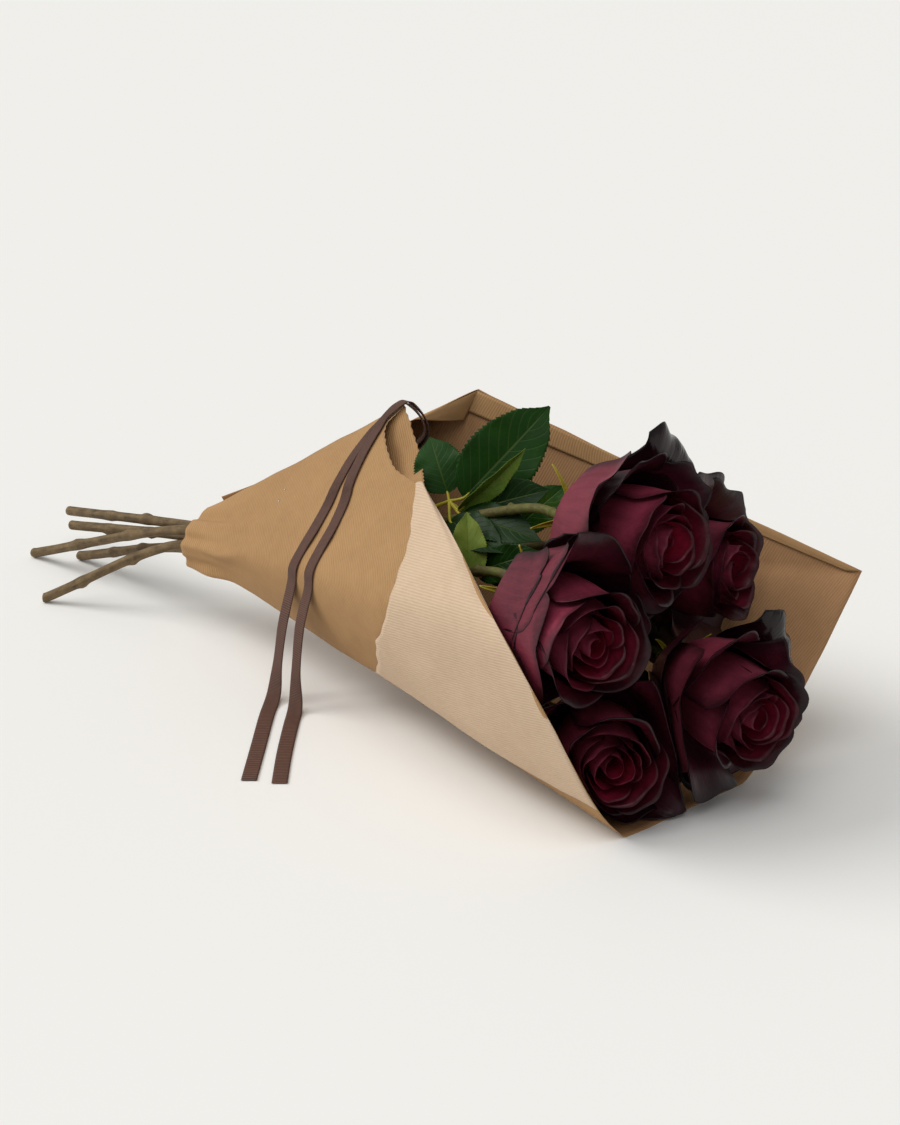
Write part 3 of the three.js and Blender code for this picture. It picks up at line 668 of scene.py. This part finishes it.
# The closed rings from the heart out: how many petals, how long, how far from the axis they start, their
# lean from root to tip in degrees, how far round each reaches, and how much deeper one edge lies.
RINGS = [
    dict(count=1, reach=76, root=2, lean=[16, 6, 2, 0, -8], span=260, slip=2.8, depth=0.0),
    dict(count=2, reach=81, root=3.2, lean=[32, 11, 2, -3, 4], span=112, slip=2.4, depth=0.1),
    dict(count=3, reach=85, root=4.2, lean=[50, 15, 2, -4, 10], span=82, slip=2.6, depth=0.22),
    dict(count=3, reach=89, root=5.2, lean=[64, 20, 3, -4, 20], span=84, slip=2.8, depth=0.36),
    dict(count=4, reach=91, root=6.2, lean=[76, 27, 6, -2, 36], span=66, slip=2.6, depth=0.6),
]
OUTER = [
    dict(root=8, lean=[92, 56, 17], span=54, slip=2.4, wave=3.0, depth=0.8),
    dict(root=9, lean=[98, 62, 26], span=50, slip=2.4, wave=4.0, depth=0.86),
    dict(root=12, lean=[102, 72, 34], span=46, slip=3, wave=4.4, depth=0.84),
]
# The guard petals' depth of 0.94 darkens them towards the rim colour as painted shade in the gap between the blooms.
GUARD = dict(root=9, lean=[102, 80, 52, 34, 48, 84], span=50, slip=2, wave=4.5, depth=0.94, point=0.07, curl=5)
CURLED = 130  # loose petals whose tips lean further than this are black and narrow
START = 0.06  # how far along its middle line a petal begins
ROOM = 0.78  # how much of its room a petal has before it gives way
CLEAR = 0.7  # how far it stays from its limits
HEART = 48  # how far the middle of a bloom lies from its base
BESIDE = 60  # how far behind that middle the paper still limits a bloom
PETAL = 0.4


def petal_line(petal):
    """A petal's middle line as a table of distance from the axis and height, from its root to its tip."""
    pieces = 48
    line = [(petal["root"], 0.0)]
    step = petal["reach"] / pieces
    for k in range(pieces):
        angle = math.radians(through(petal["lean"], (k + 0.5) / pieces))
        radius, height = line[-1]
        line.append((radius + step * math.sin(angle), height + step * math.cos(angle)))
    return line


def petal_point(petal, line, u, v):
    """A point of a petal in the bloom's own frame. u and v run from 0 to 1 across and along it."""
    across = 2 * u - 1
    outline = 1 - 0.22 * abs(across) ** 2.6 + petal["point"] * bell(across, 0.16) - 0.03 * bell(across, 0.5)
    x = clamp01(mix(START, 1, v) * outline) * (len(line) - 1)
    i = min(int(x), len(line) - 2)
    radius, height = (mix(line[i][k], line[i + 1][k], x - i) for k in (0, 1))
    turn = math.radians(petal["turn"] + across * petal["span"] * (0.8 + 0.2 * ease(v / 0.6)))
    wave, phase = petal["wave"], petal["phase"]
    ripple = wave * (math.sin(across * 4.6 + phase) * v**2.5 + 0.7 * math.sin(across * 10 + 2 * phase) * v**6)
    ripple += 0.35 * wave * math.sin(v * 9 + across * 3 + phase) * v
    side = petal["curl"] * clamp01((abs(across) - 0.55) / 0.45) ** 2 * v
    fold = -0.7 * bell(across, 0.09) * ease(v * 2)
    out = radius + across * petal["slip"] * mix(0.6, 1, v) + ripple + side + fold
    return Vector((out * math.cos(turn), out * math.sin(turn), height + 0.4 * ripple - 0.5 * side))


def bloom_frame(bloom):
    """The bloom's own frame: X is up and Z is its axis."""
    z = Vector(bloom["axis"]).normalized()
    x = (Vector((0, 0, 1)) - z * z.z).normalized()
    turned = Matrix((x, z.cross(x), z)).transposed().to_4x4()
    return Matrix.Translation(Vector(bloom["base"])) @ turned


def heart_of(bloom):
    """The middle of a bloom."""
    return Vector(bloom["base"]) + Vector(bloom["axis"]).normalized() * HEART * bloom["size"]


def limits_of(bloom):
    """The flat limits that a bloom's petals give way to: its neighbours, the surface and the paper."""
    centre = heart_of(bloom)
    limits = []
    for other in BLOOMS:
        if other is bloom:
            continue
        to = heart_of(other) - centre
        normal = (to + Vector((other["front"] - bloom["front"], 0, 0))).normalized()
        limits.append((normal, to.dot(normal) * bloom["share"] / (bloom["share"] + other["share"])))
    limits.append((Vector((0, 0, -1)), centre.z - SHEET))
    for k in range(1, 16):
        here, following = ROUND(0.06 * k), ROUND(0.06 * k + 0.02)
        normal = (here - TIP).cross(following - TIP).normalized()
        room = (here - centre).dot(normal)
        if room > 0 and here.x > centre.x - BESIDE:
            limits.append((normal, room - SHEET))
    return centre, limits


def give_way(point, centre, limits):
    """A point moved back inside the limits, smoothly and without folding."""
    for normal, room in limits:
        limit = room - CLEAR
        soft = limit * ROOM
        far = (point - centre).dot(normal)
        if far > soft:
            kept = soft + (limit - soft) * (1 - math.exp((soft - far) / (limit - soft)))
            point = point + normal * (kept - far)
    return point


def make_bloom(number):
    """A bloom's closed rings, its loose outer petals and its fully opened lowest ones."""
    bloom = BLOOMS[number]
    to_world = bloom_frame(bloom) @ Matrix.Scale(bloom["size"], 4)
    centre, limits = limits_of(bloom)
    bm = new_mesh("depth", "seed")

    def add_petal(petal, across, along, seed):
        line = petal_line(petal)

        def place(u, v):
            return give_way(to_world @ petal_point(petal, line, u, v), centre, limits)

        sheet(bm, across, along, place, depth=petal["depth"], seed=seed)

    for r, ring in enumerate(RINGS):
        for k in range(ring["count"]):
            some = [scatter(number, r * 5 + k + 100 * j) for j in range(4)]
            turn = (k + 0.37 * r) * 360 / ring["count"] + 16 * some[0] + number * 47
            lean = ring["lean"][:-1] + [ring["lean"][-1] + (some[1] - 0.3) * 8 * r]
            petal = dict(ring, turn=turn, reach=ring["reach"] * (0.97 + 0.06 * some[2]), lean=lean,
                         phase=6 * some[3], wave=0.4 + 0.22 * r, point=0.02, curl=1 + 0.4 * r)
            add_petal(petal, 50 if r == 0 else 32, 28, some[1])
    for k, (turn, reach, tip, *lowest) in enumerate(bloom["wilt"]):
        layer = OUTER[2 if lowest else k % 2]
        lean = [*layer["lean"], mix(10, tip, 0.14), mix(10, tip, 0.55), tip]
        phase = 6 * scatter(number, 40 + k)
        petal = dict(layer, turn=turn, reach=reach, lean=lean, phase=phase, point=0.06, curl=5)
        if tip > CURLED:
            petal.update(depth=1.0, wave=1.6, point=0, span=32)
        add_petal(petal, 44, 44, scatter(number, 60 + k))
    for k, turn in enumerate(bloom["guard"]):
        some = [scatter(number, 200 + 10 * k + j) for j in range(3)]
        add_petal(dict(GUARD, turn=turn, reach=70 + 16 * some[1], phase=6 * some[2]), 36, 36, some[0])
    return finish_piece(f"rose_{number + 1}_petals", bm, [PETAL_OUT, PETAL_IN, PETAL_RIM],
                        [f"rose_{number + 1}_bloom"], thickness=PETAL, shell=1, rim=2)


# ---- Stems, hips and sepals -----------------------------------------------------------------------
STEM_RADIUS = 3.5
NECK_RING = 8.8  # how far the stems lie from the bunch's own line in the neck
TIE = -300  # where the ribbon holds them
HIP_LENGTH = 14
STRAIGHT = 28  # the straight end of a stem below its hip
# Each stem's cut end, how far round it lies in the neck and at the tie, how far out it lies there, and the point that
# it bends through on its way to its bloom.
STEMS = [
    dict(end=(-560, -1, 3), neck=130, tie=108, ring=13, slack=(-150, 1, 138)),
    dict(end=(-561, 35, 25), neck=50, tie=33, ring=14.3, slack=(-150, 42, 107)),
    dict(end=(-491, -52, 3), neck=205, tie=180, ring=13.3, slack=(-150, -33, 111)),
    dict(end=(-529, 9, 30), neck=340, tie=325, ring=14.9, slack=(-110, 26, 68)),
    dict(end=(-532, 18, 3), neck=275, tie=255, ring=13.4, slack=(-130, -3, 49)),
]
KNOTS = [0.05, 0.12, 0.31, 0.5, 0.72, 0.9]  # where a stem has its knots


def around_line(x, radius, turn):
    """A point at X x, away from the bunch's own line by radius at the angle turn."""
    turn = math.radians(turn)
    return Vector((x, radius * math.cos(turn), TIP.z + RISE * (x - TIP.x) + radius * math.sin(turn)))


def stem_path(number):
    """A stem's middle line, from its cut end to just below its hip."""
    stem, bloom = STEMS[number], BLOOMS[number]
    ahead = Vector(bloom["axis"]).normalized()
    top = Vector(bloom["base"]) - ahead * (HIP_LENGTH * bloom["size"] + 0.3)
    held = [around_line(NECK_END, NECK_RING, stem["neck"]), around_line(TIE, stem["ring"], stem["tie"])]
    return smooth([stem["end"], *held, stem["slack"], top - ahead * STRAIGHT, top])


PATHS = [stem_path(k) for k in range(5)]


def make_stem(number):
    bm = new_mesh()
    path = PATHS[number]
    knots = [(k + 0.02 * scatter(number, 10 * k), 6.28 * scatter(number, 20 * k)) for k in KNOTS]

    def radius(t, turn):
        swelling = sum(0.12 * bell(t - k, 0.008) + 0.34 * bell(t - k, 0.005) * max(0, math.cos(turn - way))
                       for k, way in knots)
        uneven = 0.05 * noise.noise(Vector((t * 40, math.cos(turn), math.sin(turn) + number * 5)))
        return STEM_RADIUS * (0.96 + swelling + uneven) * mix(1, 0.92, t)

    tube(bm, lambda t: on_surface(path(t), STEM_RADIUS * 0.98), radius, 16, 260, cut=1)
    return finish_piece(f"rose_{number + 1}_cane", bm, [BARK, CUT_WOOD], [f"rose_{number + 1}_stem"])


def make_calyx(number):
    """A hip and the five curled sepals round it."""
    bloom = BLOOMS[number]
    to_world = bloom_frame(bloom)
    centre, limits = limits_of(bloom)
    bm = new_mesh()
    hip = [0, 3.4, 4.6, 6.2, 6.4, 5.8, 5, 0]
    size = bloom["size"]
    tube(bm, lambda t: to_world @ Vector((0, 0, (-14 + 10.8 * t) * size)),
         lambda t, turn: through(hip, t, soft=False) * size, 18, 21)
    for k in range(5):
        turn = math.radians(k * 72 + number * 31 + 10)
        reach, droop = 29 + 14 * scatter(number, 70 + k), 4 + 10 * scatter(number, 80 + k)
        curl = 12 * (scatter(number, 90 + k) - 0.4)

        def sepal(u, v):
            half = (2.6 * (1 - v) ** 0.7 + 0.3) * (2 * u - 1)
            lift = 1.2 * abs(2 * u - 1) ** 2 + curl * v**3
            point = Matrix.Rotation(turn, 3, "Z") @ Vector((3 + reach * v, half, -7 - droop * v * v + lift))
            return give_way(to_world @ point, centre, limits)

        sheet(bm, 6, 20, sepal)
    rose = f"rose_{number + 1}"
    return finish_piece(f"{rose}_sepals", bm, [GREEN], [f"{rose}_calyx"], thickness=0.5)


# ---- Leaves ---------------------------------------------------------------------------------------
# width is half of a leaf's widest part, fold lifts its edges in proportion to it, bend is the rise of its
# back, turn tips its face away from the light, and tone runs from dark green to yellow-green. The darkest tones, 0.02
# and below, are painted shade on the leaves that fill the dark space behind the blooms.
LIT = Vector((0.55, -0.65, 0.52)).normalized()
SPRAYS = [
    dict(stem=0, at=0.56, joint=(-160, 6, 146), leaves=[
        dict(base=(-152, 11, 149), tip=(-132, 70, 200), width=26, fold=0.16, bend=5, turn=(0.1, 0.2, -0.1),
             tone=0.18),
        dict(base=(-167, 12, 148), tip=(-190, 20, 178), width=18.5, fold=0.1, bend=3, turn=(-0.1, 0, 0), tone=0.16),
        dict(base=(-148, 2, 144), tip=(-113, 26, 188), width=7.5, fold=0.7, bend=4, turn=(0.9, 0.5, 0.2),
             tone=0.62),
        # These three leaves fill the shade behind the blooms; their near-black green is painted shade.
        dict(base=(-150, 10, 140), tip=(-92, 26, 166), width=17, fold=0.2, bend=3, turn=(0.1, 0, 0), tone=0.0),
        dict(base=(-150, -4, 138), tip=(-95, -14, 134), width=15, fold=0.2, bend=3, turn=(0, 0, 0.2), tone=-0.04),
        dict(base=(-144, 0, 142), tip=(-78, 2, 142), width=15, fold=0.2, bend=3, turn=(0, 0, 0.3), tone=-0.04),
    ]),
    dict(stem=1, at=0.58, joint=(-128, 30, 124), leaves=[
        dict(base=(-124, 30, 130), tip=(-100, 50, 160), width=14, fold=0.15, bend=3, turn=(0, 0, 0), tone=0.3),
        dict(base=(-132, 34, 128), tip=(-150, 66, 150), width=13, fold=0.15, bend=3, turn=(0, 0, 0), tone=0.1),
    ]),
    dict(stem=2, at=0.58, joint=(-118, -22, 118), leaves=[
        dict(base=(-112, -28, 114), tip=(-128, -12, 152), width=13, fold=0.3, bend=3, turn=(0.2, 0, 0), tone=0.7),
        dict(base=(-108, -16, 114), tip=(-84, 16, 126), width=12, fold=0.15, bend=3, turn=(0, 0, 0), tone=0.1),
        # This leaf fills the shade behind the blooms; its near-black green is painted shade.
        dict(base=(-116, -16, 116), tip=(-70, -8, 140), width=13, fold=0.15, bend=3, turn=(0, 0, 0), tone=0.02),
    ]),
]
TEETH = 24  # on each side of a leaf


def leaf_place(leaf):
    """The function that places a leaf's points."""
    base, tip = Vector(leaf["base"]), Vector(leaf["tip"])
    run = tip - base
    ahead = run.normalized()
    towards = LIT + Vector(leaf["turn"])
    up = (towards - ahead * towards.dot(ahead)).normalized()
    aside = up.cross(ahead)

    def place(u, v):
        across = 1 - 2 * u
        tooth = 1 - 0.08 * ((v * TEETH) % 1.0) * clamp01(abs(across) * 8 - 7)
        pointed = 1 - 0.8 * clamp01((v - 0.8) / 0.2) ** 1.5
        outline = 0.03 + math.sin(math.pi * v**0.85) ** 0.62 * (1 - 0.25 * v) * pointed
        half = leaf["width"] * outline * tooth * across
        lift = leaf["fold"] * abs(half) + leaf["bend"] * math.sin(math.pi * v)
        lift += 0.9 * math.sin(v * 19 + across * 2) * across * across * math.sin(math.pi * v)
        return base + run * v + aside * half + up * lift

    return place


def make_spray(number):
    """A spray's stalk with a twig to each leaf, and its leaves."""
    spray = SPRAYS[number]
    bm = new_mesh("tone")
    path = PATHS[spray["stem"]]
    start = path(spray["at"])
    joint = Vector(spray["joint"])
    middle = start.lerp(joint, 0.5) + Vector((-3, 0, 2))
    stalk = smooth([start, middle, joint])
    tube(bm, stalk, lambda t, turn: mix(1.6, 1.2, t), 10, 24, tone=0.6)
    for leaf in spray["leaves"]:
        base, tip = Vector(leaf["base"]), Vector(leaf["tip"])
        twig = smooth([joint, base, base.lerp(tip, 0.12)])
        tube(bm, twig, lambda t, turn: mix(1.1, 0.7, t), 8, 12, tone=0.6)
    stalks = finish_piece(f"leaf_stalks_{number + 1}", bm, [GREEN])
    bm = new_mesh("tone")
    for leaf in spray["leaves"]:
        sheet(bm, 16, TEETH * 5, leaf_place(leaf), tone=leaf["tone"])
    leaves = finish_piece(f"leaves_{number + 1}", bm, [LEAF_FACE, LEAF_BACK],
                          [f"leaf_spray_{number + 1}"], thickness=0.35, shell=1)
    return stalks, leaves


# ---- Ribbon and staple ----------------------------------------------------------------------------
RIBBON_WIDTH = 10
RIBBON = 0.5  # its thickness
LAP_GAP = 0.7  # from the lap to the ribbon's outer face
TIE_RADIUS = 19.6
TIE_LENGTH = 0.123  # round the stems, in metres
HANGING = (0.97, -0.2, 0)  # how the ribbon's width runs where it comes down from the paper
LYING = (0.73, 0.68, 0)  # and where it lies on the surface


def over_lap(*marks):
    """Closely spaced stations of the ribbon on the outer lap, through marks of t, X and lift."""
    path = smooth(marks)
    steps = 2 * (len(marks) - 1)
    return [on_lap(*path(k / steps)) for k in range(steps + 1)]


def on_lap(t, x, lift=0.0):
    """The ribbon's middle on the outer lap, at t along it and at X x, and the way that its width runs."""
    rim = OUTER_LAP(t)
    points = []
    for at in (x, x + 10):
        v = (at - PAPER_END) / (rim.x - PAPER_END)
        out = LAYER + swell(on_cone(rim, v, 0)) + WALL + LAP_GAP + lift
        points.append(on_cone(rim, v, out, lap_of(t)))
    return points[0], points[1] - points[0]


# Each tail's stations from the tie to its cut end: the ribbon's middle, and the way that its width runs.
TAILS = [
    [
        ((-300, 12.9, 83.6), (1, 0, 0.1)), ((-291, 17, 97), (0.9, -0.4, 0)),
        ((-261.3, 29.6, 126.5), (0.8, -0.6, 0)),
        ((-215.5, 43.5, 165), (0.7, -0.7, 0)), ((-226, 38.3, 188.5), (0.86, -0.15, 0.1)),
        *over_lap((0.1, -238, 1.4), (0.24, -240, 1.2), (0.38, -238, 0.4), (0.5, -234, 0), (0.62, -232, 0),
                  (0.74, -233, 0)),
        ((-236, -54, 56), HANGING), ((-237, -57, 26), HANGING), ((-232, -63, 5), (0.9, 0.3, 0)),
        ((-219, -80, 0), LYING), ((-190, -115, 0), LYING), ((-161, -148, 0), LYING),
    ],
    [
        ((-300, -3, 88.7), (1, 0, 0.1)), ((-293, 7, 101), (0.9, -0.4, 0)), ((-263, 28, 129), (0.8, -0.6, 0)),
        ((-218, 42.6, 165), (0.7, -0.7, 0)), ((-228, 37.4, 187.2), (0.86, -0.15, 0.1)),
        *over_lap((0.1, -242, 0.3), (0.24, -250, 0), (0.38, -251, 0), (0.5, -250, 0), (0.62, -251, 0),
                  (0.74, -253, 0)),
        ((-256, -50, 50), HANGING), ((-258, -53, 24), HANGING), ((-255, -60, 5), (0.9, 0.3, 0)),
        ((-242, -79, 0), LYING), ((-212, -116, 0), LYING), ((-178, -158, 0), LYING),
    ],
]


def make_tail(number):
    """A tail of the ribbon along its stations. Its UV is its own width and length in metres."""
    stations = TAILS[number]
    path = smooth([point for point, _ in stations])
    ways = smooth([Vector(way).normalized() for _, way in stations])
    steps = 320
    length = sum((path((j + 1) / steps) - path(j / steps)).length for j in range(steps))

    def place(u, v):
        point = path(v) + ways(v).normalized() * (u - 0.5) * RIBBON_WIDTH
        point.z = max(point.z, RIBBON + 0.1)
        return point

    bm = new_mesh()
    sheet(bm, 8, steps, place, lambda u, v: (u * RIBBON_WIDTH * MM, v * length * MM))
    tail = finish_piece(f"ribbon_{number + 1}", bm, [GROSGRAIN], [f"ribbon_tail_{number + 1}"],
                        thickness=RIBBON)
    return tail


def make_tie():
    """The ribbon round the stems, inside the paper."""
    bm = new_mesh()
    middle = around_line(TIE, 0, 0)
    ahead = Vector((1, 0, RISE)).normalized()
    up = (Vector((0, 0, 1)) - ahead * ahead.z).normalized()
    side = ahead.cross(up)

    def place(u, v):
        turn = 2 * math.pi * u
        out = side * math.cos(turn) + up * math.sin(turn)
        return middle + out * TIE_RADIUS + ahead * (v - 0.5) * RIBBON_WIDTH

    sheet(bm, 64, 8, place, lambda u, v: (v * RIBBON_WIDTH * MM, u * TIE_LENGTH))
    bmesh.ops.remove_doubles(bm, verts=bm.verts[:], dist=2e-6)
    return finish_piece("ribbon_band", bm, [GROSGRAIN], ["ribbon_tie"], thickness=RIBBON)


def make_staple():
    """The staple's wire, with its back on the lap and its legs bent inwards."""
    bm = new_mesh()
    ends = [on_lap(t, -307, -0.4)[0] for t in (0.275, 0.345)]
    inward = Vector((0, 0.3, -1)).normalized() * 2.4
    middle = (ends[0] + ends[1]) / 2
    path = smooth([ends[0] - inward * 0.1, ends[0] + inward * 0.6, middle + inward, ends[1] + inward * 0.6,
                   ends[1] - inward * 0.1])
    tube(bm, path, lambda t, turn: 0.5, 8, 32)
    return finish_piece("staple_wire", bm, [STAPLE_STEEL], ["staple"])


# ---- Stage ----------------------------------------------------------------------------------------
def make_stage():
    """A plain pale floor, soft studio light and a pale surround."""
    bm = bmesh.new()
    bmesh.ops.create_grid(bm, x_segments=1, y_segments=1, size=6)
    mesh = bpy.data.meshes.new("floor")
    bm.to_mesh(mesh)
    bm.free()
    floor = new_object("floor", mesh)
    material, _, shader = start_material("pale floor", 0.9)
    shader["Base Color"].default_value = (0.86, 0.855, 0.83, 1)
    mesh.materials.append(material)
    lights = [
        ("key", (-1.5, -0.9, 1.5), 36, 1.6, (1, 0.985, 0.96)),
        ("top", (0.3, -0.9, 2.3), 50, 0.92, (1, 1, 1)),
    ]
    for name, place, spread, strength, color in lights:
        data = bpy.data.lights.new(name, "SUN")
        data.angle = math.radians(spread)
        data.energy = strength
        data.color = color
        light = new_object(name, data)
        light.location = place
        light.rotation_euler = (-Vector(place)).to_track_quat("-Z", "Y").to_euler()
    world = bpy.data.worlds.new("surround")
    world.use_nodes = True
    background = world.node_tree.nodes["Background"].inputs
    background["Color"].default_value = (0.95, 0.95, 0.94, 1)
    background["Strength"].default_value = 0.44
    bpy.context.scene.world = world
    bpy.context.scene.view_settings.view_transform = "Standard"


make_camera()
make_stage()
make_paper()
for each in range(5):
    make_bloom(each)
    make_calyx(each)
    make_stem(each)
for each in range(3):
    make_spray(each)
for each in range(2):
    make_tail(each)
make_tie()
make_staple()
